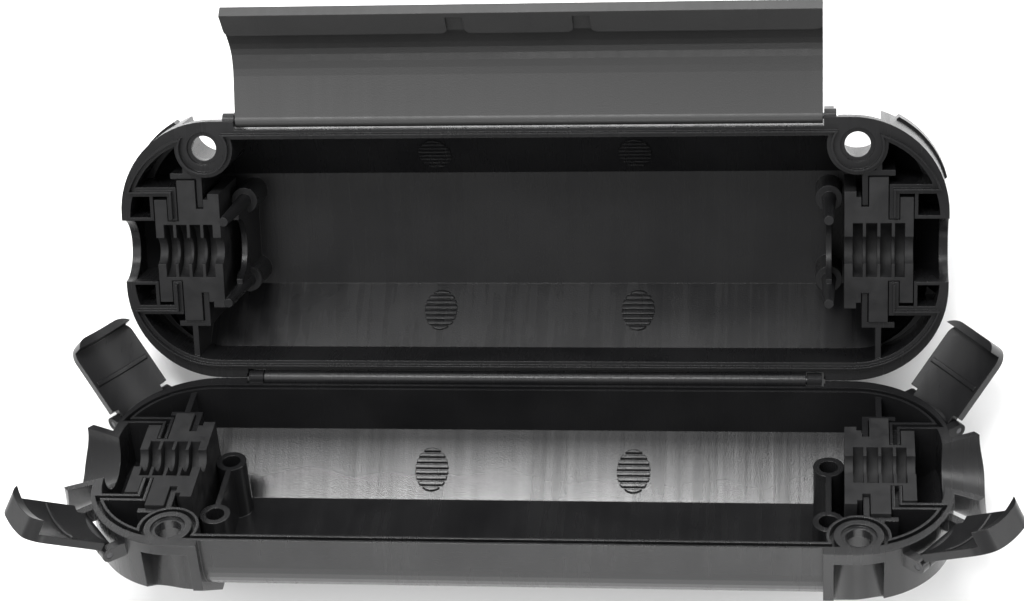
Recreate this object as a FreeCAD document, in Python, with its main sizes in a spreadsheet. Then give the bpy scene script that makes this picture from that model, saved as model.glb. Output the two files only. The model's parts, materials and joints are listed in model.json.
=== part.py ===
import FreeCAD, Part
import math
import os
import Sketcher
from FreeCAD import Placement, Rotation, Vector

# Extension cord safety cover: a long two-part box that closes round a joined pair of cords.
# A lid opens on a full-length back hinge, a flap hangs on the lid's front edge and four corner
# clips hang on the base. Empty and fully open, it can't stand on the base's underside: it rests
# like an open book, on the rear bottom edges of both halves.
# Frame: +Z up, X along the box, front at -Y, origin below the middle of the box as it rests.

# Driving dimensions in millimetres and degrees
SIZES = [
    ("half_length", 121.0, "end wall, from the middle of the box"),
    ("half_width", 39.0, "outer face of the end blocks, from the middle"),
    ("depth", 31.0, "outer depth of each half, parting plane to bottom"),
    ("corner_radius", 28.0, "rounded corners in plan"),
    ("wall_height", 16.3, "upright part of the outer wall"),
    ("slope_inset", 17.5, "how far the lower slope runs in"),
    ("skin", 2.5, "floor and slope wall"),
    ("bend_lift", 1.5, "inner bend above the outer one"),
    ("recess_lift", 0.78, "middle stretch's bend above the end blocks' bend"),
    ("rim_width", 2.8, "rim wall on the long sides"),
    ("recess", 2.6, "how far the middle stretch lies behind the end blocks"),
    ("block_start", 85.5, "inner face of the end blocks"),
    ("rim_gap", 0.15, "half of the gap between the closed rims"),
    ("groove_wall", 0.8, "thin wall on each side of the groove"),
    ("groove_width", 1.2, "width of the rim groove"),
    ("groove_depth", 2.2, "depth of the rim groove"),
    ("tongue_clear", 0.3, "side clearance of the tongue in the groove"),
    ("tongue_height", 1.7, "tongue beyond the lid's rim"),
    ("end_wall", 2.6, "thickness of the end walls"),
    ("lock_offset", 95.0, "padlock holes, from the middle"),
    ("lock_front", 30.9, "padlock holes, in front of the middle line"),
    ("lock_radius", 3.7, "padlock hole"),
    ("lock_boss", 8.7, "boss round the padlock hole"),
    ("bend_radius", 12.0, "round bend of the middle stretch, wall to slope"),
    ("lock_flange", 3.6, "thickness of the flange that the shackle passes"),
    ("shackle_radius", 6.7, "open scoop below the flange"),
    ("lock_sink", 0.8, "depth of the ring sunk round the padlock hole"),
    ("lock_rim", 1.2, "width of the ring sunk round the padlock hole"),
    ("entry_radius", 9.3, "cord entry in the end wall"),
    ("collar_reach", 9.5, "flared collar beyond the end wall"),
    ("collar_half", 17.2, "half width of the collar"),
    ("collar_round", 8.0, "rounded corners of the collar in plan"),
    ("collar_flare", 5.2, "widening of the collar"),
    ("collar_wall", 2.2, "wall of the collar"),
    ("vestibule_half", 19.4, "outer face of the side walls of the cord entry"),
    ("seal_centre", 101.1, "middle of each seal, from the middle of the box"),
    ("seal_long", 19.6, "seal along the cord"),
    ("seal_half", 15.6, "half of the seal block across the cord"),
    ("seal_depth", 23.0, "height of the seal block"),
    ("seal_trough", 8.0, "radius of the trough in the seal"),
    ("seal_bore", 4.0, "radius of the fins' cord opening"),
    ("fin", 0.9, "thickness of each sealing fin"),
    ("fin_pitch", 4.1, "spacing of the fins"),
    ("seal_frame", 2.4, "end frame of the seal"),
    ("prong_long", 3.4, "end prongs of the seal along the cord"),
    ("tab_long", 5.6, "middle tab of the seal along the cord"),
    ("tab_reach", 21.4, "middle tab, from the cord"),
    ("seal_clear", 0.25, "clearance round the seal"),
    ("seal_wing", 1.7, "end prongs beyond the seal block"),
    ("seal_lap", 2.6, "ribs that reach into the seal block"),
    ("seat_in", 3.0, "seat inside the seal's sides"),
    ("seat_short", 1.0, "seat inside the seal's ends"),
    ("bracket_low", 1.2, "brackets below the parting plane"),
    ("rib_wall", 1.7, "ribs, brackets and webs in the box"),
    ("post_offset", 86.9, "locating posts, from the middle of the box"),
    ("post_half", 12.15, "locating posts, from the cord"),
    ("socket_radius", 4.4, "outside of the base's sockets"),
    ("socket_bore", 2.65, "bore of the sockets"),
    ("socket_top", 10.8, "socket tops below the parting plane"),
    ("socket_lap", 0.8, "overlap of sockets and web"),
    ("web_low", 2.0, "lid's post web below the rim"),
    ("saddle_half", 3.0, "half length of the saddle over the cord"),
    ("peg_tube", 3.9, "lower tube of the lid's pegs"),
    ("peg_tube_top", 13.9, "peg tube tops below the parting plane"),
    ("peg_root", 2.1, "peg radius at its root"),
    ("peg_tip", 1.35, "peg radius at its tip"),
    ("peg_reach", 13.7, "pegs beyond the parting plane"),
    ("hinge_back", 39.0, "hinge axis behind the middle line"),
    ("hinge_radius", 2.3, "radius of the hinge barrels"),
    ("hinge_pin", 1.2, "radius of the lid's hinge pin"),
    ("hinge_half", 84.9, "half length of the hinge"),
    ("hinge_ear", 4.3, "length of each hinge ear on the base"),
    ("ear_foot", 2.0, "base's hinge ears below the barrel"),
    ("leaf_foot", 1.5, "lid's hinge leaf below the barrel"),
    ("leaf_gap", 0.35, "hinge leaf below the parting plane"),
    ("pin_clear", 0.04, "radial clearance of the hinge pins"),
    ("running_gap", 0.3, "end play of the hinges"),
    ("flap_axis_front", 38.8, "flap hinge axis in front of the middle line"),
    ("flap_axis_up", 3.0, "flap hinge axis above the closed parting plane"),
    ("flap_barrel", 2.1, "radius of the flap's barrel"),
    ("flap_pin", 0.9, "radius of the flap's pin"),
    ("lug_long", 3.5, "lid's lugs that hold the flap's pin"),
    ("pin_short", 0.1, "pin inside the lug's outer face"),
    ("flap_thick", 2.0, "thickness of the flap"),
    ("flap_clear", 0.5, "flap's inner face off the base"),
    ("flap_slope_run", 20.3, "length of the flap along the base's slope"),
    ("flap_band", 9.3, "height of the tabs, from the flap's free edge"),
    ("flap_strip", 2.0, "width of the strip along the free edge"),
    ("tab_round", 2.2, "rounded corners of the tabs"),
    ("flap_band_high", 1.2, "how far the tabs and the strip stand in"),
    ("flap_gap", 5.0, "gaps between the three tabs"),
    ("flap_tab", 31.0, "width of the middle tab"),
    ("clip_angle", 38.0, "direction that each clip faces, from the X axis"),
    ("clip_drop", 4.5, "clip hinge axis below the parting plane"),
    ("clip_out", 2.6, "clip hinge axis outside the corner"),
    ("clip_barrel", 2.1, "radius of the clip's barrel"),
    ("clip_pin", 0.9, "radius of the clip's pin"),
    ("clip_width", 20.6, "width of each clip"),
    ("clip_round", 5.0, "rounded tip corners of the clip"),
    ("clip_neck", 16.0, "length of the clip's barrel"),
    ("clip_ear", 0.6, "base's clip ears beyond the clip"),
    ("clip_ear_reach", 6.4, "base's clip ears, from the hinge line"),
    ("clip_rise", 0.7, "clip's wide part above its barrel"),
    ("pin_out", 0.5, "clip's pin beyond the clip"),
    ("clip_plate", 2.3, "thickness of the clip's plate"),
    ("clip_stand", 1.2, "clip's inner face off the corner wall"),
    ("clip_lip", 4.0, "how far the clip's lip reaches in"),
    ("clip_lip_thick", 2.4, "thickness of the lip"),
    ("catch_top", 18.4, "top of the lid's catches above the parting plane"),
    ("catch_out", 0.8, "catches outside the corner wall"),
    ("catch_band", 5.0, "height of the catches"),
    ("catch_root", 5.5, "root of the catches inside the corner wall"),
    ("catch_clear", 0.6, "gap between a closed lip and its catch"),
    ("notch_wall", 1.0, "walls of the lid's cord notch"),
    ("pad_offset", 30.0, "ribbed pads, from the middle along the box"),
    ("pad_side", 24.0, "ribbed pads, from the cord"),
    ("pad_rise", 0.8, "height of the ribbed pads"),
    ("pad_pitch", 1.3, "spacing of the grooves in the pads"),
    ("pad_groove", 0.6, "width of the grooves in the pads"),
    ("pad_radius", 4.9, "radius of the ribbed pads"),
    ("lid_open", 109.2, "lid's angle from closed"),
    ("stand_shift", 60.611, "middle of the resting box behind the base's middle"),
    ("flap_open", 97.0, "flap's angle from closed"),
    ("front_clip_open", 56.0, "front clips' angle from closed"),
    ("back_clip_open", 46.0, "back clips' angle from closed"),
]

doc = FreeCAD.newDocument("safety_cover")
sheet = doc.addObject("Spreadsheet::Sheet", "sizes")
for row, (alias, value, note) in enumerate(SIZES, start=1):
    sheet.set("A%d" % row, alias)
    sheet.set("B%d" % row, str(value))
    sheet.set("C%d" % row, note)
    sheet.setAlias("B%d" % row, alias)
doc.recompute()

# Straight steps that stand for the bend of the middle stretch
BEND_STEPS = 5

# Words for places that several pieces share
DERIVED = {
    "side_tan": "(sizes.slope_inset / (sizes.depth - sizes.wall_height))",
    "mid_half": "(sizes.half_width - sizes.recess)",
    "cavity_half": "(sizes.half_width - sizes.recess - sizes.rim_width)",
    "cavity_end": "(sizes.half_length - sizes.end_wall)",
    "floor_z": "(sizes.skin - sizes.depth)",
    "vest_in": "(sizes.seal_centre + sizes.tab_long / 2 + sizes.rim_gap)",
    "turn": "atan({side_tan})",
    "half_tan": "tan({turn} / 2)",
    "slope_top": "(sizes.wall_height - sizes.recess_lift)",
    "bend_y": "({mid_half} - sizes.bend_radius)",
    "bend_z": "({slope_top} - sizes.bend_radius * {half_tan})",
    "groove_far": "(sizes.groove_wall + sizes.groove_width)",
    "ring_wall": "(2 * sizes.groove_wall + sizes.groove_width)",
    "run_y": "sin({turn})",
    "run_z": "cos({turn})",
    "slope_half": "(sizes.block_start - sizes.running_gap)",
    "arc_x": "(sizes.half_length - sizes.corner_radius)",
    "arc_y": "(sizes.half_width - sizes.corner_radius)",
}


def words(text):
    """Put the shared places and the sheet's name into a short expression."""
    out = text
    while "{" in out:
        for key, full in DERIVED.items():
            out = out.replace("{" + key + "}", full)
    return out


def bind(obj, prop, text):
    obj.setExpression(prop, words(text))


def place(obj, x="0", y="0", z="0"):
    bind(obj, "Placement.Base.x", "(" + x + ") * 1 mm")
    bind(obj, "Placement.Base.y", "(" + y + ") * 1 mm")
    bind(obj, "Placement.Base.z", "(" + z + ") * 1 mm")
    return obj


def size(alias):
    return float(sheet.get(alias))


def box(name, x0, x1, y0, y1, z0, z1):
    """A block between two places on each axis."""
    obj = doc.addObject("Part::Box", name)
    bind(obj, "Length", "(%s) - (%s)" % (x1, x0))
    bind(obj, "Width", "(%s) - (%s)" % (y1, y0))
    bind(obj, "Height", "(%s) - (%s)" % (z1, z0))
    return place(obj, x0, y0, z0)


def rod(name, radius, z0, z1, x="0", y="0"):
    """An upright cylinder."""
    obj = doc.addObject("Part::Cylinder", name)
    bind(obj, "Radius", radius)
    bind(obj, "Height", "(%s) - (%s)" % (z1, z0))
    return place(obj, x, y, z0)


def bar(name, radius, x0, x1, y="0", z="0"):
    """A cylinder along X."""
    obj = doc.addObject("Part::Cylinder", name)
    obj.Placement = Placement(Vector(0, 0, 0), Rotation(Vector(0, 1, 0), 90))
    bind(obj, "Radius", radius)
    bind(obj, "Height", "(%s) - (%s)" % (x1, x0))
    return place(obj, x0, y, z)


def cone(name, r0, r1, x0, x1):
    """A cone along X on the cord's line."""
    obj = doc.addObject("Part::Cone", name)
    obj.Placement = Placement(Vector(0, 0, 0), Rotation(Vector(0, 1, 0), 90))
    bind(obj, "Radius1", r0)
    bind(obj, "Radius2", r1)
    bind(obj, "Height", "(%s) - (%s)" % (x1, x0))
    return place(obj, x0)


def fuse(name, pieces):
    obj = doc.addObject("Part::MultiFuse", name)
    obj.Shapes = pieces
    return obj


def common(name, pieces):
    obj = doc.addObject("Part::MultiCommon", name)
    obj.Shapes = pieces
    return obj


def cut(name, base, tool):
    obj = doc.addObject("Part::Cut", name)
    obj.Base = base
    obj.Tool = tool
    return obj


def mirror(name, source, normal):
    obj = doc.addObject("Part::Mirroring", name)
    obj.Source = source
    obj.Normal = normal
    obj.Base = Vector(0, 0, 0)
    return obj


def both_ends(name, pieces):
    """The pieces and their mirror image at the other end of the box."""
    group = fuse(name + "_one", pieces) if len(pieces) > 1 else pieces[0]
    return [group, mirror(name + "_other", group, Vector(1, 0, 0))]


def outline(name, half_x, half_y, radius, z):
    """A rounded rectangle sketch round the middle of the box."""
    sketch = doc.addObject("Sketcher::SketchObject", name)
    hx, hy, r = 100.0, 40.0, 10.0
    corners = [(hx - r, hy - r, 0), (r - hx, hy - r, 1), (r - hx, r - hy, 2), (hx - r, r - hy, 3)]
    quarter = 1.5707963267948966
    for cx, cy, turn in corners:
        circle = Part.Circle(Vector(cx, cy, 0), Vector(0, 0, 1), r)
        sketch.addGeometry(Part.ArcOfCircle(circle, turn * quarter, (turn + 1) * quarter), False)
    ends = [
        (Vector(hx - r, hy, 0), Vector(r - hx, hy, 0)),
        (Vector(-hx, hy - r, 0), Vector(-hx, r - hy, 0)),
        (Vector(r - hx, -hy, 0), Vector(hx - r, -hy, 0)),
        (Vector(hx, r - hy, 0), Vector(hx, hy - r, 0)),
    ]
    for start, stop in ends:
        sketch.addGeometry(Part.LineSegment(start, stop), False)
    for turn in range(4):
        sketch.addConstraint(Sketcher.Constraint("Tangent", turn, 2, 4 + turn, 1))
        sketch.addConstraint(Sketcher.Constraint("Tangent", 4 + turn, 2, (turn + 1) % 4, 1))
    for turn in (0, 2):
        sketch.addConstraint(Sketcher.Constraint("Horizontal", 4 + turn))
        sketch.addConstraint(Sketcher.Constraint("Vertical", 5 + turn))
    for turn in (1, 2, 3):
        sketch.addConstraint(Sketcher.Constraint("Equal", 0, turn))
    driven = [
        ("corner", Sketcher.Constraint("Radius", 0, r), radius),
        ("right", Sketcher.Constraint("DistanceX", -1, 1, 7, 1, hx), half_x),
        ("left", Sketcher.Constraint("DistanceX", 5, 1, -1, 1, hx), half_x),
        ("back", Sketcher.Constraint("DistanceY", -1, 1, 4, 1, hy), half_y),
        ("front", Sketcher.Constraint("DistanceY", 6, 1, -1, 1, hy), half_y),
    ]
    for label, constraint, text in driven:
        index = sketch.addConstraint(constraint)
        sketch.renameConstraint(index, label)
        bind(sketch, "Constraints." + label, text)
    bind(sketch, "Placement.Base.z", "(" + z + ") * 1 mm")
    return sketch


def slab(name, half_x, half_y, radius, z0, z1):
    """A rounded rectangle with upright sides."""
    sketch = outline(name + "_outline", half_x, half_y, radius, z0)
    obj = doc.addObject("Part::Extrusion", name)
    obj.Base = sketch
    obj.DirMode = "Normal"
    obj.Solid = True
    bind(obj, "LengthFwd", "(%s) - (%s)" % (z1, z0))
    return obj


def bowl(name, levels):
    """A ruled loft down through rounded rectangles: (half_x, half_y, radius, z)."""
    sections = [outline("%s_level%d" % (name, i), *level) for i, level in enumerate(levels)]
    obj = doc.addObject("Part::Loft", name)
    obj.Sections = sections
    obj.Solid = True
    obj.Ruled = True
    return obj


def profile(name, points, x0, x1):
    """A straight-sided section in the YZ plane, run along X. The points are (y, z) texts."""
    sketch = doc.addObject("Sketcher::SketchObject", name + "_section")
    count = len(points)
    rough = []
    for i in range(count):
        turn = math.radians(360 * i / count + 10)
        rough.append(Vector(30 * math.cos(turn), 30 * math.sin(turn), 0))
    for i in range(count):
        sketch.addGeometry(Part.LineSegment(rough[i], rough[(i + 1) % count]), False)
    for i in range(count):
        sketch.addConstraint(Sketcher.Constraint("Coincident", i, 2, (i + 1) % count, 1))
    for i, (y_text, z_text) in enumerate(points):
        for axis, start, text in (("DistanceX", rough[i].x, y_text), ("DistanceY", rough[i].y, z_text)):
            index = sketch.addConstraint(Sketcher.Constraint(axis, -1, 1, i, 1, start))
            label = "%s%d" % (axis, i)
            sketch.renameConstraint(index, label)
            bind(sketch, "Constraints." + label, text)
    sketch.Placement = Placement(Vector(0, 0, 0), Rotation(Vector(1, 1, 1), 120))
    bind(sketch, "Placement.Base.x", "(" + x0 + ") * 1 mm")
    obj = doc.addObject("Part::Extrusion", name)
    obj.Base = sketch
    obj.DirMode = "Normal"
    obj.Solid = True
    bind(obj, "LengthFwd", "(%s) - (%s)" % (x1, x0))
    return obj


# Plan outline at a distance outside the cavity's edge
def cavity_outline(off):
    return (
        "{cavity_end} + %s" % off,
        "{cavity_half} + %s" % off,
        "sizes.corner_radius - sizes.end_wall + %s - 1" % off,
    )


def cavity_bowl(name, off):
    """The chamber's form, grown by an offset. Its slope is parallel to the outer one."""
    inner_top = "sizes.wall_height - sizes.bend_lift"
    inner_in = "(sizes.depth - sizes.skin - (%s)) * {side_tan}" % inner_top
    half_x, half_y, radius = cavity_outline(off)
    return bowl(name, [
        (half_x, half_y, radius, "3"),
        (half_x, half_y, radius, "-(%s)" % inner_top),
        (half_x + " - " + inner_in, half_y + " - " + inner_in, radius + " - " + inner_in, "{floor_z}"),
    ])


def sealed_region(name, off, z0, z1):
    """The sealed chamber's plan, grown by an offset: without lock bosses and cord entries."""
    plate = slab(name + "_plate", *cavity_outline(off), z0, z1)
    boss = rod(name + "_boss", "sizes.lock_boss - %s" % off, z0 + " - 1", z1 + " + 1",
               "sizes.lock_offset", "-sizes.lock_front")
    entry = box(name + "_entry", "{vest_in} + %s" % off, "sizes.half_length + 20",
                "%s - sizes.vestibule_half" % off, "sizes.vestibule_half - %s" % off,
                z0 + " - 1", z1 + " + 1")
    return cut(name, plate, fuse(name + "_out", both_ends(name + "_ends", [boss, entry])))


def bend_points(off, side):
    """Points round the bend of the middle stretch, grown by an offset. Front side: "-"."""
    points = []
    for step in range(BEND_STEPS + 1):
        part = "({turn} * %d / %d)" % (step, BEND_STEPS)
        points.append((
            "%s({bend_y} + (sizes.bend_radius + %s) * cos(%s))" % (side, off, part),
            "-({bend_z} + (sizes.bend_radius + %s) * sin(%s))" % (off, part),
        ))
    return points


def half_shell(name, collared):
    """One half of the box, cavity upwards, with its rim at the parting plane."""
    rim = "-sizes.rim_gap"
    inset = "sizes.slope_inset"
    outer = bowl(name + "_outer", [
        ("sizes.half_length", "sizes.half_width", "sizes.corner_radius", rim),
        ("sizes.half_length", "sizes.half_width", "sizes.corner_radius", "-sizes.wall_height"),
        ("sizes.half_length - " + inset, "sizes.half_width - " + inset,
         "sizes.corner_radius - " + inset, "-sizes.depth"),
    ])
    foot = "({mid_half} - (sizes.depth - {slope_top}) * {side_tan})"
    middle = [("-{mid_half}", "2")] + bend_points("0", "-")
    middle += [("-" + foot, "-sizes.depth - 0.01"), (foot, "-sizes.depth - 0.01")]
    middle += bend_points("0", "")[::-1] + [("{mid_half}", "2")]
    middle_run = profile(name + "_middle", middle, "-sizes.block_start", "sizes.block_start")
    around = box(name + "_around", "-sizes.block_start", "sizes.block_start",
                 "-sizes.half_width - 5", "sizes.half_width + 5", "-sizes.depth - 5", "1")
    waisted = cut(name + "_waisted", outer, cut(name + "_recess", around, middle_run))
    hollow = cut(name + "_hollow", waisted, cavity_bowl(name + "_cavity", "0"))
    # Walls round the lock bosses and the cord entries
    ring_out = sealed_region(name + "_ring_out", "{ring_wall}", "{floor_z} - 0.5", rim)
    ring_in = sealed_region(name + "_ring_in", "0", "{floor_z} - 1", "1")
    ring = cut(name + "_ring", ring_out, ring_in)
    posts = [rod(name + "_post", "sizes.lock_boss", "{floor_z} - 0.5", rim,
                 "sizes.lock_offset", "-sizes.lock_front")]
    if not collared:
        posts += notch_walls(name, rim)
    inside = fuse(name + "_inside", [ring] + both_ends(name + "_posts", posts + seal_seat(name)))
    kept = common(name + "_kept", [inside, waisted])
    added = [hollow, kept] + ribbed_pads(name)
    # Cord path, padlock holes and the open scoops below their flanges
    if collared:
        added += both_ends(name + "_collars", [cord_collar(name, rim)])
        mouth = cone(name + "_mouth", "sizes.entry_radius", "sizes.entry_radius + sizes.collar_flare",
                     "{cavity_end}", "sizes.half_length + sizes.collar_reach + 0.01")
    else:
        mouth = bar(name + "_mouth", "sizes.entry_radius", "{cavity_end}", "sizes.half_length + 1")
    neck = bar(name + "_neck", "sizes.entry_radius", "{vest_in}", "{cavity_end} + 0.01")
    hole = rod(name + "_hole", "sizes.lock_radius", "-sizes.depth - 1", "5",
               "sizes.lock_offset", "-sizes.lock_front")
    scoop = rod(name + "_scoop", "sizes.shackle_radius", "-sizes.depth - 1", "-sizes.lock_flange",
                "sizes.lock_offset", "-sizes.lock_front")
    scoop_way = box(name + "_scoop_way", "sizes.lock_offset - sizes.shackle_radius",
                    "sizes.lock_offset + sizes.shackle_radius", "-sizes.half_width - 5",
                    "-sizes.lock_front", "-sizes.depth - 1", "-sizes.lock_flange")
    counterbore = rod(name + "_counterbore", "sizes.lock_radius + sizes.lock_rim", "-sizes.rim_gap - sizes.lock_sink", "5",
                      "sizes.lock_offset", "-sizes.lock_front")
    openings = fuse(name + "_openings", both_ends(
        name + "_open", [mouth, neck, hole, scoop, scoop_way, counterbore]))
    return cut(name + "_half", fuse(name + "_walled", added), openings)


def cord_collar(name, rim):
    """The flared lobe under the cord, beyond the base's +X end wall."""
    reach = "sizes.half_length + sizes.collar_reach"
    flare = cone(name + "_flare", "sizes.entry_radius + sizes.collar_wall",
                 "sizes.entry_radius + sizes.collar_wall + sizes.collar_flare", "{cavity_end}", reach)
    lobe = slab(name + "_lobe", reach, "sizes.collar_half", "sizes.collar_round", "-30", rim)
    beyond = box(name + "_beyond", "{cavity_end}", "sizes.half_length + 30", "-30", "30", "-40", "1")
    return common(name + "_collar", [flare, lobe, beyond])


def notch_walls(name, rim):
    """Thin walls beside the lid's cord notch, and across its end beside the seal."""
    start = "sizes.seal_centre + sizes.seal_long / 2 + sizes.seal_clear"
    low = "{floor_z} - 0.5"
    walls = []
    for label, sign in (("back", 1), ("front", -1)):
        for kind, end, far in (("along", "{cavity_end} + 0.5", "sizes.entry_radius + sizes.notch_wall"),
                               ("across", start + " + sizes.notch_wall", "sizes.vestibule_half - 1")):
            near = "sizes.entry_radius - 0.2"
            across = (near, far) if sign > 0 else ("-(%s)" % far, "-(%s)" % near)
            walls.append(box("%s_%s_%s" % (name, label, kind), start, end, *across, low, rim))
    return walls


def ribbed_pads(name):
    """Four round ribbed pads on the slopes of the chamber."""
    layer = cut(name + "_pad_layer", cavity_bowl(name + "_pad_out", "0.3"),
                cavity_bowl(name + "_pad_in", "-sizes.pad_rise"))
    disc = rod(name + "_pad_disc", "sizes.pad_radius", "{floor_z}", "-5", "sizes.pad_offset", "sizes.pad_side")
    grooves = []
    for index in range(-3, 4):
        middle = "sizes.pad_side + %d * sizes.pad_pitch" % index
        grooves.append(box("%s_pad_groove%d" % (name, index + 3), "sizes.pad_offset - 10", "sizes.pad_offset + 10",
                           middle + " - sizes.pad_groove / 2", middle + " + sizes.pad_groove / 2", "-40", "0"))
    pad = cut(name + "_pad", common(name + "_pad_round", [layer, disc]), fuse(name + "_pad_grooves", grooves))
    pair = fuse(name + "_pad_pair", [pad, mirror(name + "_pad_front", pad, Vector(0, 1, 0))])
    return both_ends(name + "_pads", [pair])


def seal_seat(name):
    """Brackets, rib, web and seat of one cord seal, at the +X end."""
    top = "-sizes.bracket_low"
    low = "{floor_z} - 0.5"
    side = []
    for label, sign in (("back", 1), ("front", -1)):
        def across(near, far):
            return (near, far) if sign > 0 else ("-(%s)" % far, "-(%s)" % near)
        bracket_y = across("sizes.tab_reach + sizes.seal_clear",
                           "sizes.tab_reach + sizes.seal_clear + sizes.rib_wall")
        side.append(box("%s_%s_bracket" % (name, label),
                        "sizes.seal_centre - sizes.tab_long / 2 - sizes.seal_clear - sizes.rib_wall",
                        "{vest_in} + sizes.rib_wall", *bracket_y, low, top))
        rib_y = across("sizes.seal_half - sizes.seal_lap", "sizes.tab_reach + sizes.seal_clear + sizes.rib_wall")
        side.append(box("%s_%s_rib" % (name, label),
                        "sizes.seal_centre - sizes.tab_long / 2 - sizes.seal_clear - sizes.rib_wall",
                        "sizes.seal_centre - sizes.tab_long / 2 - sizes.seal_clear", *rib_y, low, top))
        web_y = across("sizes.tab_reach + sizes.rib_wall", "sizes.half_width")
        side.append(box("%s_%s_web" % (name, label),
                        "sizes.seal_centre - sizes.rib_wall / 2", "sizes.seal_centre + sizes.rib_wall / 2",
                        *web_y, low, top))
    side.append(box(name + "_seat", "sizes.seal_centre - sizes.seal_long / 2 + sizes.seat_short",
                    "sizes.seal_centre + sizes.seal_long / 2 - sizes.seat_short",
                    "sizes.seat_in - sizes.seal_half", "sizes.seal_half - sizes.seat_in", low,
                    "-sizes.seal_depth - sizes.seal_clear"))
    return side


def checked(obj):
    """Stop if an object failed or has no sound solid."""
    shape = obj.Shape
    if "Invalid" in obj.State or "Error" in obj.State:
        raise RuntimeError(obj.Name + " failed")
    if shape.isNull() or not shape.isValid() or not shape.Solids:
        raise RuntimeError(obj.Name + " has no sound solid")
    return obj


def corner_place(sign_x, sign_y):
    """The hinge point of a corner clip: local X along the hinge, local Y outwards."""
    angle = math.radians(size("clip_angle"))
    out = size("corner_radius") + size("clip_out")
    x = size("half_length") - size("corner_radius") + out * math.cos(angle)
    y = size("half_width") - size("corner_radius") + out * math.sin(angle)
    facing = math.degrees(math.atan2(sign_y * math.sin(angle), sign_x * math.cos(angle)))
    return Placement(Vector(sign_x * x, sign_y * y, -size("clip_drop")),
                     Rotation(Vector(0, 0, 1), facing - 90))


def turned(axis_point, angle):
    """A turn about a line along X through a point."""
    return Placement(Vector(0, 0, 0), Rotation(Vector(1, 0, 0), angle), axis_point)


CORNERS = [("back_right", 1, 1), ("back_left", -1, 1), ("front_left", -1, -1), ("front_right", 1, -1)]


def rim_ring(name, near, far, z0, z1):
    """The band between two offsets of the sealed chamber's edge."""
    outer = sealed_region(name + "_far", far, z0, z1)
    inner = sealed_region(name + "_near", near, z0 + " - 2", z1 + " + 2")
    return cut(name, outer, inner)


def clip_ears(name, pin_hole):
    """Two ears on a corner wall, with the clip pin's bore through both."""
    ear_in = "sizes.clip_neck / 2 + sizes.running_gap"
    ear_out = "(sizes.clip_width / 2 + sizes.clip_ear)"
    pieces = []
    for label, sign in (("a", 1), ("b", -1)):
        x0, x1 = (ear_in, ear_out) if sign > 0 else ("-(%s)" % ear_out, "-(%s)" % ear_in)
        pieces.append(box("%s_%s_arm" % (name, label), x0, x1, "-sizes.clip_ear_reach", "0",
                          "-sizes.clip_barrel", "sizes.clip_barrel"))
        pieces.append(bar("%s_%s_eye" % (name, label), "sizes.clip_barrel", x0, x1))
    bore = bar(name + "_bore", pin_hole, "-(%s) - 1" % ear_out, ear_out + " + 1")
    return cut(name, fuse(name + "_solid", pieces), bore)


def base_shell():
    shell = half_shell("base", True)
    groove = rim_ring("groove", "sizes.groove_wall", "{groove_far}",
                      "-sizes.rim_gap - sizes.groove_depth", "1")
    sockets = []
    for label, sign in (("back", ""), ("front", "-")):
        tube = rod("socket_%s_tube" % label, "sizes.socket_radius", "{floor_z} - 0.5", "-sizes.socket_top",
                   "sizes.post_offset", sign + "sizes.post_half")
        bore = rod("socket_%s_bore" % label, "sizes.socket_bore", "{floor_z} + 1", "1",
                   "sizes.post_offset", sign + "sizes.post_half")
        sockets.append(cut("socket_%s" % label, tube, bore))
    web = box("socket_web", "sizes.post_offset - sizes.rib_wall / 2", "sizes.post_offset + sizes.rib_wall / 2",
              "sizes.socket_radius - sizes.socket_lap - sizes.post_half",
              "sizes.post_half - sizes.socket_radius + sizes.socket_lap",
              "{floor_z} - 0.5", "-sizes.socket_top")
    ear = box("ear_arm", "sizes.hinge_half - sizes.hinge_ear", "sizes.hinge_half",
              "{mid_half} - 1", "sizes.hinge_back", "-sizes.hinge_radius - sizes.ear_foot", "0")
    eye = bar("ear_eye", "sizes.hinge_radius", "sizes.hinge_half - sizes.hinge_ear", "sizes.hinge_half",
              "sizes.hinge_back")
    added = both_ends("base_added", sockets + [web, ear, eye])
    pin_bore = bar("ear_bore", "sizes.hinge_pin + sizes.pin_clear", "-sizes.hinge_half - 1",
                   "sizes.hinge_half + 1", "sizes.hinge_back")
    catch = band_profile("catch_groove", "sizes.flap_band", "sizes.flap_clear", "-{slope_half} ", "{slope_half}")
    ears = []
    for label, sign_x, sign_y in CORNERS:
        pair = clip_ears("ears_" + label, "sizes.clip_pin + sizes.pin_clear")
        pair.Placement = corner_place(sign_x, sign_y)
        ears.append(pair)
    whole = fuse("base_whole", [shell] + added + ears)
    return cut("base_cut", whole, fuse("base_cuts", [groove, pin_bore, catch]))


def band_profile(name, width, grow, x0, x1):
    """The section of the tabs on the slope of the base, grown all round."""
    gap = "sizes.flap_clear"
    start_y = "-({mid_half} + %s)" % gap
    start_z = "-({slope_top} + %s * {half_tan})" % gap
    near = "(sizes.flap_slope_run - %s - %s)" % (width, grow)
    far = "(sizes.flap_slope_run + %s)" % grow
    deep = "(sizes.flap_band_high + %s)" % grow
    low = "0.05"
    points = []
    for along, inwards in ((near, "-" + low), (far, "-" + low), (far, deep), (near, deep)):
        points.append((
            "%s + %s * {run_y} + %s * {run_z}" % (start_y, along, inwards),
            "%s - %s * {run_z} + %s * {run_y}" % (start_z, along, inwards),
        ))
    return profile(name, points, x0, x1)


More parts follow.
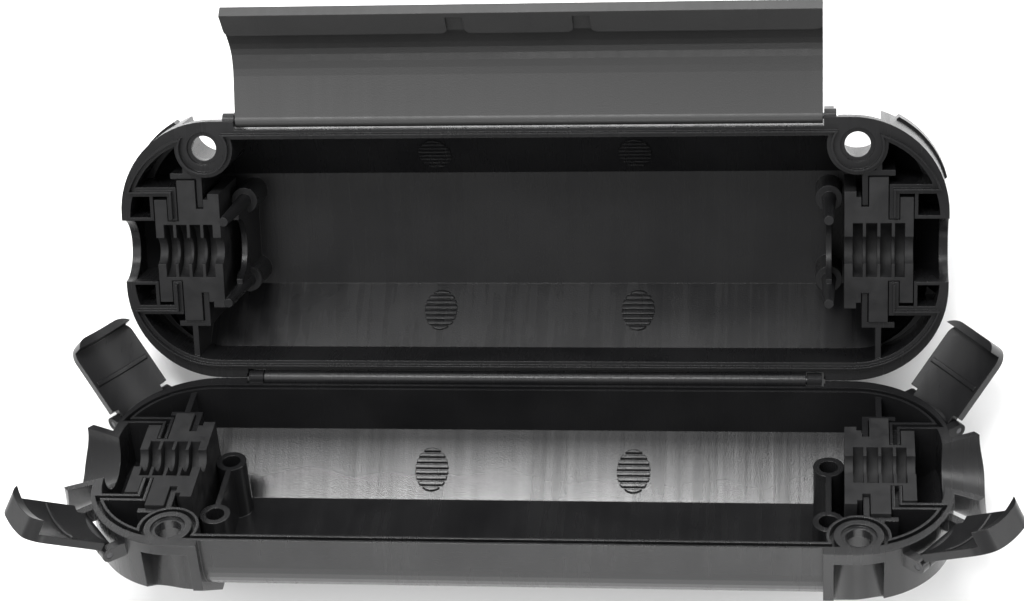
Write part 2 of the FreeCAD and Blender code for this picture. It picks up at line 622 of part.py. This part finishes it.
def lid_shell():
    """The lid, made cavity upwards and turned over."""
    shell = half_shell("lid", False)
    band = rim_ring("tongue_ring", "(sizes.groove_wall + sizes.tongue_clear)",
                    "({groove_far} - sizes.tongue_clear)", "-1", "sizes.tongue_height - sizes.rim_gap")
    cord_way = box("tongue_gap", "-sizes.half_length - 5", "sizes.half_length + 5",
                   "-sizes.entry_radius - 0.6", "sizes.entry_radius + 0.6", "-5", "5")
    tongue = cut("tongue", band, cord_way)
    pegs = []
    for label, sign in (("back", ""), ("front", "-")):
        pegs.append(rod("peg_%s_tube" % label, "sizes.peg_tube", "{floor_z} - 0.5", "-sizes.peg_tube_top",
                        "sizes.post_offset", sign + "sizes.post_half"))
        pin = doc.addObject("Part::Cone", "peg_%s_pin" % label)
        bind(pin, "Radius1", "sizes.peg_root")
        bind(pin, "Radius2", "sizes.peg_tip")
        bind(pin, "Height", "sizes.peg_tube_top + sizes.peg_reach + 1")
        pegs.append(place(pin, "sizes.post_offset", sign + "sizes.post_half", "-sizes.peg_tube_top - 1"))
    web = box("peg_web", "sizes.post_offset - sizes.rib_wall / 2", "sizes.post_offset + sizes.rib_wall / 2",
              "-sizes.post_half", "sizes.post_half", "{floor_z} - 0.5", "-sizes.web_low")
    saddle = bar("peg_saddle", "sizes.seal_trough + 1", "sizes.post_offset - sizes.saddle_half",
                 "sizes.post_offset + sizes.saddle_half", "0", "-sizes.web_low")
    pegs.append(cut("peg_web_saddled", web, saddle))
    lug = bar("flap_lug", "sizes.flap_barrel", "sizes.block_start", "sizes.block_start + sizes.lug_long",
              "-sizes.flap_axis_front", "-sizes.flap_axis_up")
    catches = []
    for label, sign_y in (("back", 1), ("front", -1)):
        catches.append(corner_catch(label, sign_y))
    barrel = bar("lid_barrel", "sizes.hinge_radius",
                 "-(sizes.hinge_half - sizes.hinge_ear - sizes.running_gap)",
                 "sizes.hinge_half - sizes.hinge_ear - sizes.running_gap", "sizes.hinge_back")
    leaf = box("lid_leaf", "-(sizes.hinge_half - sizes.hinge_ear - sizes.running_gap)",
               "sizes.hinge_half - sizes.hinge_ear - sizes.running_gap",
               "{mid_half} - 1", "sizes.hinge_back", "-sizes.hinge_radius - sizes.leaf_foot", "-sizes.leaf_gap")
    whole = fuse("lid_whole", [shell, tongue, barrel, leaf] + both_ends("lid_added", pegs + [lug] + catches))
    pin_bore = bar("barrel_bore", "sizes.hinge_pin + sizes.pin_clear", "-sizes.hinge_half - 1",
                   "sizes.hinge_half + 1", "sizes.hinge_back")
    lug_bore = bar("lug_bore", "sizes.flap_pin + sizes.pin_clear", "-sizes.block_start - 4",
                   "sizes.block_start + 4", "-sizes.flap_axis_front", "-sizes.flap_axis_up")
    done = cut("lid_cut", whole, fuse("lid_cuts", [pin_bore, lug_bore]))
    return mirror("lid_turned", done, Vector(0, 0, 1))


def corner_catch(label, sign_y):
    """The raised band on a corner of the lid that a clip's lip hooks over."""
    ring = rod("catch_%s_ring" % label, "sizes.corner_radius + sizes.catch_out",
               "-sizes.catch_top", "-sizes.catch_top + sizes.catch_band", "{arc_x}", "%s * {arc_y}" % sign_y)
    hollow = rod("catch_%s_hollow" % label, "sizes.corner_radius - sizes.catch_root",
                 "-sizes.catch_top - 1", "-sizes.catch_top + sizes.catch_band + 1", "{arc_x}", "%s * {arc_y}" % sign_y)
    band = cut("catch_%s_band" % label, ring, hollow)
    sector = doc.addObject("Part::Box", "catch_%s_sector" % label)
    bind(sector, "Length", "sizes.clip_width + 2")
    sector.Width = 20
    sector.Height = 60
    spot = corner_place(1, sign_y)
    offset = Placement(Vector(-(size("clip_width") + 2) / 2, -12, -30), Rotation())
    sector.Placement = spot.multiply(offset)
    return common("catch_%s" % label, [band, sector])


def slope_place():
    """The root line of the tabs: local Y down the slope of the closed flap."""
    turn = math.atan(size("slope_inset") / (size("depth") - size("wall_height")))
    along = size("flap_slope_run") - size("flap_band")
    gap = size("flap_clear")
    y = -(size("half_width") - size("recess") + gap) + along * math.sin(turn)
    z = -(size("wall_height") - size("recess_lift") + gap * math.tan(turn / 2)) - along * math.cos(turn)
    return Placement(Vector(0, y, z), Rotation(Vector(1, 0, 0), math.degrees(turn) - 90))


def flap_tab(name, x0, x1):
    """One tab inside the flap, with round corners towards the hinge."""
    band = band_profile(name + "_band", "sizes.flap_band", "0", x0, x1)
    wide = box(name + "_wide", x0, x1, "sizes.tab_round", "sizes.flap_band + 1", "-5", "5")
    root = box(name + "_root", x0 + " + sizes.tab_round", x1 + " - sizes.tab_round",
               "0", "sizes.tab_round + 1", "-5", "5")
    rounds = [rod(name + "_round_a", "sizes.tab_round", "-5", "5", x0 + " + sizes.tab_round", "sizes.tab_round"),
              rod(name + "_round_b", "sizes.tab_round", "-5", "5", x1 + " - sizes.tab_round", "sizes.tab_round")]
    plan = fuse(name + "_plan", [wide, root] + rounds)
    plan.Placement = slope_place()
    return common(name, [band, plan])


def front_flap():
    """The flap, closed over the front, with a strip and three tabs at its free edge."""
    near = "sizes.flap_clear"
    far = "(sizes.flap_clear + sizes.flap_thick)"
    inner_y = "-({mid_half} + %s)" % near
    outer_y = "-({mid_half} + %s)" % far
    end_y = "%s + sizes.flap_slope_run * {run_y}" % inner_y
    end_z = "-({slope_top} + %s * {half_tan}) - sizes.flap_slope_run * {run_z}" % near
    points = [(inner_y, "sizes.flap_axis_up")] + bend_points(near, "-")
    points += [
        (end_y, end_z),
        (end_y + " - sizes.flap_thick * {run_z}", end_z + " - sizes.flap_thick * {run_y}"),
    ]
    points += bend_points(far, "-")[::-1] + [(outer_y, "sizes.flap_axis_up")]
    reach = "{slope_half}"
    plate = profile("flap_plate", points, "-" + reach, reach)
    strip = band_profile("flap_strip_band", "sizes.flap_strip", "0", "-" + reach, reach)
    barrel = bar("flap_barrel_bar", "sizes.flap_barrel", "-" + reach, reach,
                 "-sizes.flap_axis_front", "sizes.flap_axis_up")
    tabs = [
        flap_tab("tab_middle", "-sizes.flap_tab / 2", "sizes.flap_tab / 2"),
        flap_tab("tab_right", "sizes.flap_tab / 2 + sizes.flap_gap", reach),
        flap_tab("tab_left", "-" + reach, "-sizes.flap_tab / 2 - sizes.flap_gap"),
    ]
    bore = bar("flap_bore", "sizes.flap_pin + sizes.pin_clear", "-sizes.block_start", "sizes.block_start",
               "-sizes.flap_axis_front", "sizes.flap_axis_up")
    return cut("flap_cut", fuse("flap_whole", [plate, strip, barrel] + tabs), bore)


def corner_clip(name):
    """A clip standing closed on its hinge: curved plate, lip at the top, barrel below."""
    centre = "-(sizes.corner_radius + sizes.clip_out)"
    inner = "sizes.corner_radius + sizes.clip_stand"
    lip_low = "sizes.clip_drop + sizes.catch_top + sizes.catch_clear"
    lip_high = "(%s + sizes.clip_lip_thick)" % lip_low
    low = "sizes.clip_barrel + sizes.clip_rise"
    outer = rod(name + "_outer", inner + " + sizes.clip_plate", "0", lip_high, "0", centre)
    inside = rod(name + "_inside", inner, "-1", lip_low, "0", centre)
    over = rod(name + "_over", inner + " - sizes.clip_lip", "-1", lip_high + " + 1", "0", centre)
    wide = box(name + "_wide", "-sizes.clip_width / 2", "sizes.clip_width / 2", "-12", "12",
               low, lip_high + " - sizes.clip_round")
    tip = box(name + "_tip", "sizes.clip_round - sizes.clip_width / 2", "sizes.clip_width / 2 - sizes.clip_round",
              "-12", "12", low, lip_high)
    rounds = []
    for label, sign in (("a", ""), ("b", "-")):
        disc = doc.addObject("Part::Cylinder", "%s_round_%s" % (name, label))
        disc.Placement = Placement(Vector(0, 0, 0), Rotation(Vector(1, 0, 0), 90))
        bind(disc, "Radius", "sizes.clip_round")
        disc.Height = 24
        rounds.append(place(disc, "%s(sizes.clip_width / 2 - sizes.clip_round)" % sign, "12",
                            lip_high + " - sizes.clip_round"))
    neck = box(name + "_neck", "-sizes.clip_neck / 2", "sizes.clip_neck / 2", "-12", "12", "0", low + " + 1")
    plan = fuse(name + "_plan", [wide, tip, neck] + rounds)
    ring = cut(name + "_ring", outer, fuse(name + "_removed", [inside, over]))
    plate = common(name + "_plate", [ring, plan])
    barrel = bar(name + "_barrel", "sizes.clip_barrel", "-sizes.clip_neck / 2", "sizes.clip_neck / 2")
    bore = bar(name + "_bore", "sizes.clip_pin + sizes.pin_clear", "-sizes.clip_width", "sizes.clip_width")
    return cut(name + "_cut", fuse(name + "_whole", [plate, barrel]), bore)


def cord_seal(name):
    """One rubber seal: block with end prongs and a middle tab, trough and three fins."""
    x0 = "(sizes.seal_centre - sizes.seal_long / 2)"
    x1 = "(sizes.seal_centre + sizes.seal_long / 2)"
    low, top = "-sizes.seal_depth", "-sizes.seal_clear"
    block = box(name + "_block", x0, x1, "-sizes.seal_half", "sizes.seal_half", low, top)
    tab = box(name + "_tab", "sizes.seal_centre - sizes.tab_long / 2", "sizes.seal_centre + sizes.tab_long / 2",
              "-sizes.tab_reach", "sizes.tab_reach", low, top)
    prong = box(name + "_prong", x0, x0 + " + sizes.prong_long", "-sizes.seal_half - sizes.seal_wing",
                "sizes.seal_half + sizes.seal_wing", low, top)
    body = fuse(name + "_body", [block, tab, prong])
    rib_slot = []
    for label, sign in (("back", 1), ("front", -1)):
        ends = ("sizes.seal_half - sizes.seal_lap - sizes.seal_clear", "30")
        ya, yb = ends if sign > 0 else ("-(%s)" % ends[1], "-(%s)" % ends[0])
        rib_slot.append(box("%s_%s_slot" % (name, label),
                            "sizes.seal_centre - sizes.tab_long / 2 - 2 * sizes.seal_clear - sizes.rib_wall",
                            "sizes.seal_centre - sizes.tab_long / 2", ya, yb, "-40", "5"))
    wall_slot = box(name + "_wall_slot", "{vest_in} - sizes.seal_clear",
                    "{vest_in} + {ring_wall} + sizes.seal_clear", "-40", "40", "-40", "5")
    keep = bar(name + "_keep", "sizes.entry_radius - sizes.seal_clear", x0, x1)
    wall_cut = cut(name + "_wall_cut", wall_slot, keep)
    room = bar(name + "_room", "sizes.seal_trough", x0 + " + sizes.seal_frame", x1 + " - sizes.seal_frame")
    fins = []
    for index in (-1, 0, 1):
        middle = "sizes.seal_centre + %d * sizes.fin_pitch" % index
        fins.append(box("%s_fin%d" % (name, index + 1), middle + " - sizes.fin / 2", middle + " + sizes.fin / 2",
                        "-20", "20", "-20", "20"))
    windows = cut(name + "_windows", room, fuse(name + "_fins", fins))
    bore = bar(name + "_bore", "sizes.seal_bore", x0 + " - 1", x1 + " + 1")
    carved = cut(name + "_carved", body, fuse(name + "_removed", rib_slot + [wall_cut, windows, bore]))
    return common(name + "_fitted", [carved, cavity_bowl(name + "_room_form", "-1.5 * sizes.seal_clear")])


def pin_between(name, radius, half, y="0", z="0"):
    return bar(name, radius, "-(%s)" % half, half, y, z)


def node(name, source, where):
    """A finished piece: the source's solid, standing where the box holds it."""
    piece = doc.addObject("Part::Feature", name)
    piece.Label = name
    piece.Shape = source.Shape
    piece.Placement = where.multiply(source.Shape.Placement)
    return piece


# Places of the bodies at rest
LEAN = 90 - size("lid_open") / 2
REST_EDGE = Vector(0, size("half_width") - size("slope_inset"), -size("depth"))
RAISE = Placement(Vector(0, -size("stand_shift"), size("depth")), Rotation())
STAND = RAISE.multiply(turned(REST_EDGE, -LEAN))
HINGE = Vector(0, size("hinge_back"), 0)
FLAP_AXIS = Vector(0, -size("flap_axis_front"), size("flap_axis_up"))
ON_BASE = STAND
ON_LID = STAND.multiply(turned(HINGE, -size("lid_open")))
ON_FLAP = ON_LID.multiply(turned(FLAP_AXIS, -size("flap_open")))

sources = {
    "base_shell": base_shell(),
    "lid_shell": lid_shell(),
    "front_flap": front_flap(),
    "clip": corner_clip("clip"),
    "seal": cord_seal("seal"),
    "lid_hinge_pin": pin_between("lid_pin", "sizes.hinge_pin", "sizes.hinge_half", "sizes.hinge_back"),
    "flap_hinge_pin": pin_between("flap_pin_rod", "sizes.flap_pin", "sizes.block_start + sizes.lug_long - sizes.pin_short",
                                  "-sizes.flap_axis_front", "sizes.flap_axis_up"),
    "clip_pin": pin_between("clip_pin_rod", "sizes.clip_pin", "sizes.clip_width / 2 + sizes.pin_out"),
}
doc.recompute()
for source in sources.values():
    checked(source)

pieces = [
    node("base_shell", sources["base_shell"], ON_BASE),
    node("lid_shell", sources["lid_shell"], ON_LID),
    node("front_flap", sources["front_flap"], ON_FLAP),
    node("lid_hinge_pin", sources["lid_hinge_pin"], ON_BASE),
    node("flap_hinge_pin", sources["flap_hinge_pin"], ON_LID),
]
for label, sign_x, sign_y in CORNERS:
    spot = corner_place(sign_x, sign_y)
    angle = size("back_clip_open") if sign_y > 0 else size("front_clip_open")
    tilt = Placement(Vector(0, 0, 0), Rotation(Vector(1, 0, 0), -angle))
    pieces.append(node(label + "_clip", sources["clip"], ON_BASE.multiply(spot).multiply(tilt)))
    pieces.append(node(label + "_clip_pin", sources["clip_pin"], ON_BASE.multiply(spot)))
about = Placement(Vector(0, 0, 0), Rotation(Vector(0, 0, 1), 180))
over = Placement(Vector(0, 0, 0), Rotation(Vector(1, 0, 0), 180))
for end, turn in (("right", Placement()), ("left", about)):
    pieces.append(node("base_%s_seal" % end, sources["seal"], ON_BASE.multiply(turn)))
    pieces.append(node("lid_%s_seal" % end, sources["seal"], ON_LID.multiply(over).multiply(turn)))

doc.recompute()
os.makedirs("parts", exist_ok=True)
for piece in pieces:
    checked(piece)
    piece.Shape.exportStep("parts/" + piece.Label + ".step")
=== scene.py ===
import json
import math

import bpy
from mathutils import Matrix, Vector


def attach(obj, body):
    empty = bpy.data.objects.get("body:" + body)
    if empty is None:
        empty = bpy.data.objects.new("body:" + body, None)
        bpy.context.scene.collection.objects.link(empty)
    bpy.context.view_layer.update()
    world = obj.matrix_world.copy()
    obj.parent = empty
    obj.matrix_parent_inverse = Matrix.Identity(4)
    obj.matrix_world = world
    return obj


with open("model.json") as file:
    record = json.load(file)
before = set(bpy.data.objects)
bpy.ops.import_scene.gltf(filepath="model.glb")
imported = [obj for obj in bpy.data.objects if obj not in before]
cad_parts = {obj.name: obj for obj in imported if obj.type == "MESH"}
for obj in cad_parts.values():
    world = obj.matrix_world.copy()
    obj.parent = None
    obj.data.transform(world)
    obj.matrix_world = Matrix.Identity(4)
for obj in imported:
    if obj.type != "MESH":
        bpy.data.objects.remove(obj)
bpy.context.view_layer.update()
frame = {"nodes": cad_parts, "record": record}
nodes = frame["nodes"]
scene = bpy.context.scene
scene.view_settings.view_transform = "Standard"

# The photograph was taken with the base lying flat. The part rests leaning back on both halves,
# so camera and lamps are set up round the flat box and then lean back with it. Metres.
LEAN = math.radians(35.4)
HINGE_AT_REST = Vector((0, -0.006889, 0.015132))
# Camera: the view worked out from the photograph, with the hinge axis as its anchor.
AZIMUTH = math.radians(8.68)
ELEVATION = math.radians(34.22)
ROLL = math.radians(-4.83)
HINGE = Vector((0, 0.039, 0.031))
OFFSET_RIGHT, OFFSET_UP, DISTANCE = -0.00595, 0.02319, 0.7449
FOCAL_PIXELS, FRAME_PIXELS, SENSOR = 2521.76, 1024, 36.0
CLIP_START = 0.05


def leaning():
    """From the frame of the flat box to the frame of the resting one."""
    turn = Matrix.Rotation(-LEAN, 4, "X")
    return Matrix.Translation(HINGE_AT_REST) @ turn @ Matrix.Translation(-HINGE)


def make_camera():
    """The photograph's camera, leaned back with the part."""
    back = Vector((math.sin(AZIMUTH) * math.cos(ELEVATION), -math.cos(AZIMUTH) * math.cos(ELEVATION),
                   math.sin(ELEVATION)))
    right = (-back).cross(Vector((0, 0, 1))).normalized()
    up = right.cross(-back)
    turned_right = right * math.cos(ROLL) + up * math.sin(ROLL)
    turned_up = up * math.cos(ROLL) - right * math.sin(ROLL)
    place = HINGE + back * DISTANCE + turned_right * OFFSET_RIGHT + turned_up * OFFSET_UP
    data = bpy.data.cameras.new("camera")
    data.sensor_width = SENSOR
    data.lens = FOCAL_PIXELS * SENSOR / FRAME_PIXELS
    data.clip_start = CLIP_START
    camera = bpy.data.objects.new("camera", data)
    camera.matrix_world = leaning() @ Matrix((
        (turned_right.x, turned_up.x, back.x, place.x),
        (turned_right.y, turned_up.y, back.y, place.y),
        (turned_right.z, turned_up.z, back.z, place.z),
        (0, 0, 0, 1),
    ))
    scene.collection.objects.link(camera)
    scene.camera = camera


# Places of the colour sockets in a Mix node
MIX_FIRST, MIX_SECOND, MIX_RESULT = 6, 7, 2
BUMP_DEPTH, PIN_BUMP_DEPTH = 0.0002, 0.0001
SOFT_EDGE, SEAL_EDGE = 0.00035, 0.0003
BEVEL_SAMPLES = 4


class Nodes:
    """A small helper that wires a material's nodes."""

    def __init__(self, name):
        self.material = bpy.data.materials.new(name)
        self.material.use_nodes = True
        self.tree = self.material.node_tree
        self.shader = self.tree.nodes["Principled BSDF"]
        self.coords = self.tree.nodes.new("ShaderNodeTexCoord").outputs["Object"]

    def add(self, kind, inputs=None, **settings):
        node = self.tree.nodes.new(kind)
        for key, value in settings.items():
            setattr(node, key, value)
        for key, value in (inputs or {}).items():
            if isinstance(value, bpy.types.NodeSocket):
                self.tree.links.new(value, node.inputs[key])
            else:
                node.inputs[key].default_value = value
        return node

    def noise(self, scale, detail=3.0, stretch=(1, 1, 1), rough=0.5):
        mapping = self.add("ShaderNodeMapping", {"Vector": self.coords, "Scale": stretch})
        return self.add("ShaderNodeTexNoise", {"Vector": mapping.outputs[0], "Scale": scale, "Detail": detail,
                                               "Roughness": rough}).outputs["Fac"]

    def ramp(self, value, low, high, out_low, out_high):
        return self.add("ShaderNodeMapRange", {"Value": value, "From Min": low, "From Max": high,
                                               "To Min": out_low, "To Max": out_high}).outputs["Result"]

    def blend(self, factor, first, second):
        """A colour between two greys or tints, given as RGB."""
        node = self.add("ShaderNodeMix", {"Factor": factor}, data_type="RGBA")
        node.inputs[MIX_FIRST].default_value = (*first, 1)
        node.inputs[MIX_SECOND].default_value = (*second, 1)
        return node.outputs[MIX_RESULT]

    def link(self, source, target):
        self.tree.links.new(source, self.shader.inputs[target])


def plastic(name, dark, light, rough, shine, grain, streak):
    """Moulded black plastic: fine grain, faint flow streaks and softened edges."""
    m = Nodes(name)
    fine = m.noise(2600, 2.0)
    patch = m.noise(38, 3.0)
    streaks = m.noise(420, 2.0, (1.0, 0.03, 0.03))
    m.link(m.blend(m.ramp(patch, 0.3, 0.7, 0.0, 1.0), dark, light), "Base Color")
    mixed = m.add("ShaderNodeMath", {0: patch, 1: streaks}, operation="ADD").outputs[0]
    m.link(m.ramp(mixed, 0.7, 1.3, rough - 0.05, rough + 0.07), "Roughness")
    flow = m.add("ShaderNodeMath", {0: streaks, 1: streak}, operation="MULTIPLY").outputs[0]
    height = m.add("ShaderNodeMath", {0: fine, 1: flow}, operation="ADD").outputs[0]
    soft = m.add("ShaderNodeBevel", {"Radius": SOFT_EDGE}, samples=BEVEL_SAMPLES)
    bump = m.add("ShaderNodeBump", {"Strength": grain, "Distance": BUMP_DEPTH, "Height": height,
                                    "Normal": soft.outputs[0]})
    m.link(bump.outputs[0], "Normal")
    m.shader.inputs["Specular IOR Level"].default_value = shine
    return m


def height_of(m, axis):
    """One axis of the part's own coordinates, in metres."""
    return m.add("ShaderNodeSeparateXYZ", {"Vector": m.coords}).outputs[axis]


# Where the base's slope begins and ends along Y, and its shine there
SLOPE_FOOT_TO_TOP, SHINE_FOOT_TO_TOP = (-0.041, -0.0225), (0.52, 0.06)
# Where the flap's body grows darker along Z, its painted light and shade there (painted light near the hinge
# fading to painted shade towards the free edge), and where its tabs begin, with the painted highlight added
# on them
FLAP_RISE, FLAP_PAINTED_LIGHT_TO_SHADE = (0.058, 0.078), (0.034, 0.008)
TABS_RISE, TABS_PAINTED_HIGHLIGHT = (0.0792, 0.0796), (0.0, 0.02)


def base_plastic():
    """The base's plastic: its inner slope is polished towards the floor of the chamber."""
    m = plastic("black_base", (0.007, 0.007, 0.0075), (0.012, 0.012, 0.0125), 0.24, 0.26, 0.2, 1.6)
    m.link(m.ramp(height_of(m, "Y"), *SLOPE_FOOT_TO_TOP, *SHINE_FOOT_TO_TOP), "Specular IOR Level")
    return m.material


def flap_plastic():
    """The flap's plastic, with painted light and shade: paler towards the hinge, darker towards the free
    edge, and a painted highlight on the tabs at the free edge.
    """
    m = plastic("black_flap", (0.012, 0.012, 0.0125), (0.017, 0.017, 0.0175), 0.42, 0.4, 0.25, 0.1)
    # Base colour painted with light and shade along Z: painted light near the hinge, painted shade towards
    # the free edge, and a painted highlight on the tabs
    rise = height_of(m, "Z")
    body = m.ramp(rise, *FLAP_RISE, *FLAP_PAINTED_LIGHT_TO_SHADE)
    tabs = m.ramp(rise, *TABS_RISE, *TABS_PAINTED_HIGHLIGHT)
    painted_light_level = m.add("ShaderNodeMath", {0: body, 1: tabs}, operation="ADD").outputs[0]
    tone = m.add("ShaderNodeCombineColor", {"Red": painted_light_level, "Green": painted_light_level, "Blue": painted_light_level}).outputs[0]
    m.link(tone, "Base Color")
    return m.material


def rubber(name):
    """Matt soft rubber with a little dust on it."""
    m = Nodes(name)
    dust = m.noise(240, 4.0)
    fine = m.noise(3400, 2.0)
    tone = m.blend(m.ramp(dust, 0.35, 0.75, 0.0, 1.0), (0.007, 0.007, 0.0075), (0.016, 0.016, 0.0165))
    m.link(tone, "Base Color")
    m.link(m.ramp(dust, 0.3, 0.7, 0.5, 0.68), "Roughness")
    m.shader.inputs["Specular IOR Level"].default_value = 0.25
    soft = m.add("ShaderNodeBevel", {"Radius": SEAL_EDGE}, samples=BEVEL_SAMPLES)
    bump = m.add("ShaderNodeBump", {"Strength": 0.25, "Distance": BUMP_DEPTH, "Height": fine,
                                    "Normal": soft.outputs[0]})
    m.link(bump.outputs[0], "Normal")
    return m.material


def steel(name):
    """Darkened steel, brushed across the pin."""
    m = Nodes(name)
    lines = m.noise(900, 2.0, (0.02, 1.0, 1.0))
    m.shader.inputs["Metallic"].default_value = 1.0
    m.link(m.blend(lines, (0.05, 0.05, 0.052), (0.1, 0.1, 0.104)), "Base Color")
    m.link(m.ramp(lines, 0.3, 0.7, 0.24, 0.4), "Roughness")
    bump = m.add("ShaderNodeBump", {"Strength": 0.15, "Distance": PIN_BUMP_DEPTH, "Height": lines})
    m.link(bump.outputs[0], "Normal")
    return m.material


SHARP_FROM = math.radians(32)


def dress(names, material):
    for name in names:
        mesh = nodes[name].data
        mesh.materials.clear()
        mesh.materials.append(material)


def smooth_by_angle(names):
    """Shade flat faces flat and curves smooth."""
    for name in names:
        nodes[name].data.set_sharp_from_angle(angle=SHARP_FROM)


# The stiffening rib across the inside of each clip: millimetres in the closed clip's own frame
RIB_CENTRE, RIB_RADII, RIB_HEIGHTS, RIB_HALF = -30.6, (29.35, 28.6), (11.4, 13.0), 9.2
RIB_STEPS, RIB_CHAMFER = 24, 0.3
MM_PER_METRE = 1000
CLIP_OPEN = {"back": math.radians(46), "front": math.radians(56)}


def rib_section():
    """The rib's section as (radius, height) corners, chamfered on the side that shows."""
    outer, inner = RIB_RADII
    low, high = RIB_HEIGHTS
    cut = RIB_CHAMFER
    return [(outer, low), (inner + cut, low), (inner, low + cut),
            (inner, high - cut), (inner + cut, high), (outer, high)]


def make_rib(joint):
    """One rib, riding on its clip."""
    corner = joint["name"].replace("_clip_hinge", "")
    along = Vector(joint["axis"]).normalized()
    up = Vector((0, math.sin(LEAN), math.cos(LEAN)))
    out = up.cross(along)
    open_by = CLIP_OPEN[corner.split("_")[0]]
    far = out * math.cos(open_by) - up * math.sin(open_by)
    tall = up * math.cos(open_by) + out * math.sin(open_by)
    origin = Vector(joint["pos_m"])
    section = rib_section()
    half_turn = math.asin(RIB_HALF / RIB_RADII[1])
    points, faces = [], []
    for step in range(RIB_STEPS + 1):
        turn = half_turn * (2 * step / RIB_STEPS - 1)
        for radius, height in section:
            side, depth = radius * math.sin(turn), RIB_CENTRE + radius * math.cos(turn)
            points.append(origin + (along * side + far * depth + tall * height) / MM_PER_METRE)
    count = len(section)
    for step in range(RIB_STEPS):
        for i in range(count):
            a, b = step * count + i, step * count + (i + 1) % count
            faces.append((a, b, b + count, a + count))
    faces.append(tuple(reversed(range(count))))
    faces.append(tuple(range(RIB_STEPS * count, (RIB_STEPS + 1) * count)))
    mesh = bpy.data.meshes.new(corner + "_clip_rib")
    mesh.from_pydata(points, [], faces)
    mesh.materials.append(clip_black.material)
    rib = bpy.data.objects.new(corner + "_clip_rib", mesh)
    scene.collection.objects.link(rib)
    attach(rib, corner + "_clip_arm")


FLOOR_HALF, FLOOR_DROP = 6.0, 0.0002


def make_stage():
    """The white floor under the part."""
    white = Nodes("studio_white")
    patch = white.noise(3, 2.0)
    white.link(white.blend(patch, (0.86, 0.86, 0.86), (0.9, 0.9, 0.9)), "Base Color")
    white.shader.inputs["Roughness"].default_value = 0.9
    mesh = bpy.data.meshes.new("studio_floor")
    half = FLOOR_HALF
    corners = [(-half, -half, 0), (half, -half, 0), (half, half, 0), (-half, half, 0)]
    mesh.from_pydata(corners, [], [(0, 1, 2, 3)])
    mesh.materials.append(white.material)
    floor = bpy.data.objects.new("studio_floor", mesh)
    floor.location.z = -FLOOR_DROP
    scene.collection.objects.link(floor)


def make_light(name, size, power, place, aim):
    """An area lamp, placed round the flat box and leaned back with it."""
    data = bpy.data.lights.new(name, "AREA")
    data.shape = "RECTANGLE"
    data.size, data.size_y = size
    data.energy = power
    lamp = bpy.data.objects.new(name, data)
    turn = (Vector(aim) - Vector(place)).to_track_quat("-Z", "Y").to_matrix().to_4x4()
    lamp.matrix_world = leaning() @ Matrix.Translation(place) @ turn
    scene.collection.objects.link(lamp)


WORLD_LIGHT, WORLD_SEEN = 0.85, 1.0


def make_world():
    """White all round: dimmer as light than as seen by the camera, by mirrors and through glass."""
    world = bpy.data.worlds.new("studio")
    scene.world = world
    world.use_nodes = True
    tree = world.node_tree
    light = tree.nodes["Background"]
    light.inputs["Color"].default_value = (1, 1, 1, 1)
    light.inputs["Strength"].default_value = WORLD_LIGHT
    seen = tree.nodes.new("ShaderNodeBackground")
    seen.inputs["Strength"].default_value = WORLD_SEEN
    path = tree.nodes.new("ShaderNodeLightPath")
    mirrored = tree.nodes.new("ShaderNodeMath")
    mirrored.operation = "MAXIMUM"
    tree.links.new(path.outputs["Is Glossy Ray"], mirrored.inputs[0])
    tree.links.new(path.outputs["Is Transmission Ray"], mirrored.inputs[1])
    plain = tree.nodes.new("ShaderNodeMath")
    plain.operation = "MAXIMUM"
    tree.links.new(path.outputs["Is Camera Ray"], plain.inputs[0])
    tree.links.new(mirrored.outputs[0], plain.inputs[1])
    mix = tree.nodes.new("ShaderNodeMixShader")
    tree.links.new(plain.outputs[0], mix.inputs[0])
    tree.links.new(light.outputs[0], mix.inputs[1])
    tree.links.new(seen.outputs[0], mix.inputs[2])
    tree.links.new(mix.outputs[0], tree.nodes["World Output"].inputs["Surface"])


make_camera()
make_stage()
make_world()
# name, size, power in watts, place, aim
make_light("overhead", (0.9, 0.7), 7.0, (0.05, 0.35, 1.0), (0, 0.02, 0.02))
make_light("front_low", (0.9, 0.3), 4.0, (0.1, -0.98, -0.42), (0, -0.03, 0.0))
make_light("slope_gleam", (0.5, 0.22), 9.0, (-0.155, -0.42, 1.0), (0, 0.025, 0.01))
make_light("front_fill", (0.9, 0.6), 5.0, (-0.5, -0.9, 0.7), (0, 0.03, 0.05))
make_light("side_strip", (0.25, 0.9), 3.0, (0.95, -0.1, 0.5), (0, 0.03, 0.05))

lid_black = plastic("black_lid", (0.006, 0.006, 0.0065), (0.010, 0.010, 0.0105), 0.26, 0.24, 0.2, 1.2)
clip_black = plastic("black_clip", (0.008, 0.008, 0.0085), (0.013, 0.013, 0.0135), 0.32, 0.3, 0.2, 0.3)
dress(["base_shell"], base_plastic())
dress(["lid_shell"], lid_black.material)
dress(["front_flap"], flap_plastic())
dress([n for n in nodes if n.endswith("_clip")], clip_black.material)
dress([n for n in nodes if n.endswith("_seal")], rubber("seal_rubber"))
dress([n for n in nodes if n.endswith("_pin")], steel("pin_steel"))
smooth_by_angle(list(nodes))
for hinge in frame["record"]["behaviour"]["joints"]:
    if hinge["name"].endswith("_clip_hinge"):
        make_rib(hinge)
